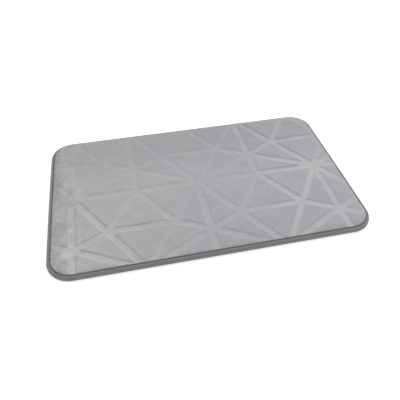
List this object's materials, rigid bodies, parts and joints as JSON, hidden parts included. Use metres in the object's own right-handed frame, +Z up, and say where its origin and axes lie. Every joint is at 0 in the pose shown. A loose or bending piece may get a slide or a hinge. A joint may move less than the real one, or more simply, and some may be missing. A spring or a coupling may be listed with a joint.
{
  "type": "bath mat",
  "caption": "Rectangular cushioned bath mat with rounded corners, a plush face pressed with a net of triangles, a foam core, a grip backing and a bound edge.",
  "frame": {"origin": "on the floor, under the middle of the mat", "axes": "+X along the mat's length to the right, +Y across it from the front to the back, +Z up out of the plush face"},
  "size_m": [0.8, 0.5, 0.0181],
  "materials": {
    "plush": "short soft grey pile, brushed, lighter where it is pressed",
    "wadding": "white bonded fibre",
    "foam": "open-cell cushion foam, matt",
    "backing": "thin woven cloth",
    "grip": "satin grip coat in small dots",
    "tape": "darker grey knitted tape with a fine rib",
    "thread": "twisted polyester sewing thread",
    "label": "smooth woven ribbon, blank"
  },
  "bodies": {
    "root": {"plush_cover": "plush", "wadding": "wadding", "foam_core": "foam", "backing_cloth": "backing", "grip_coat": "grip", "edge_binding": "tape", "needle_thread": "thread", "bobbin_thread": "thread", "care_label": "label"}
  },
  "joints": []
}
